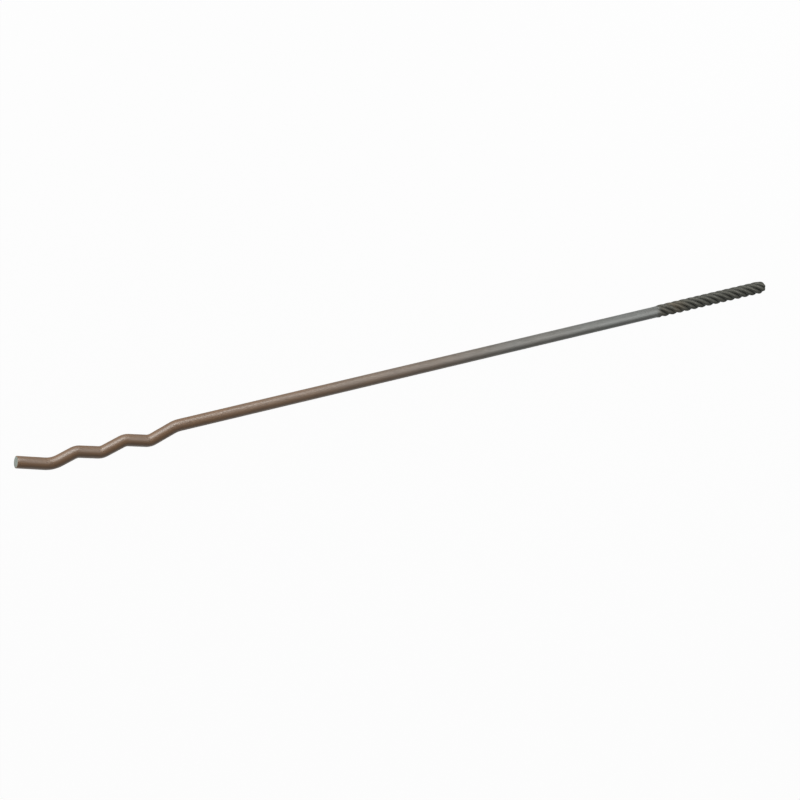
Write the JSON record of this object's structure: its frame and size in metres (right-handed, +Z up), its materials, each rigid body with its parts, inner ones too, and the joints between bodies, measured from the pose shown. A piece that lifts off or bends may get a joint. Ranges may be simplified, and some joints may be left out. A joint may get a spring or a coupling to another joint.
{
  "type": "masonry wall tie",
  "caption": "Stainless wire cavity wall tie with a zig-zag end for the mortar joint, a long straight shank and a helically ribbed end for driving into a wall plug.",
  "frame": {"origin": "centre of the box, on the surface that the tie lies on", "axes": "+X along the shank towards the ribbed end, +Z up and square to the plane of the wave, with the valleys of the wave towards -Y"},
  "size_m": [0.275, 0.0078, 0.0045],
  "materials": {
    "wire": "satin drawn stainless wire, tinted warm brown towards the wavy end, with dull grey rolled ribs and a bright sheared end face"
  },
  "bodies": {
    "root": {"tie_wire": "wire"}
  },
  "joints": []
}
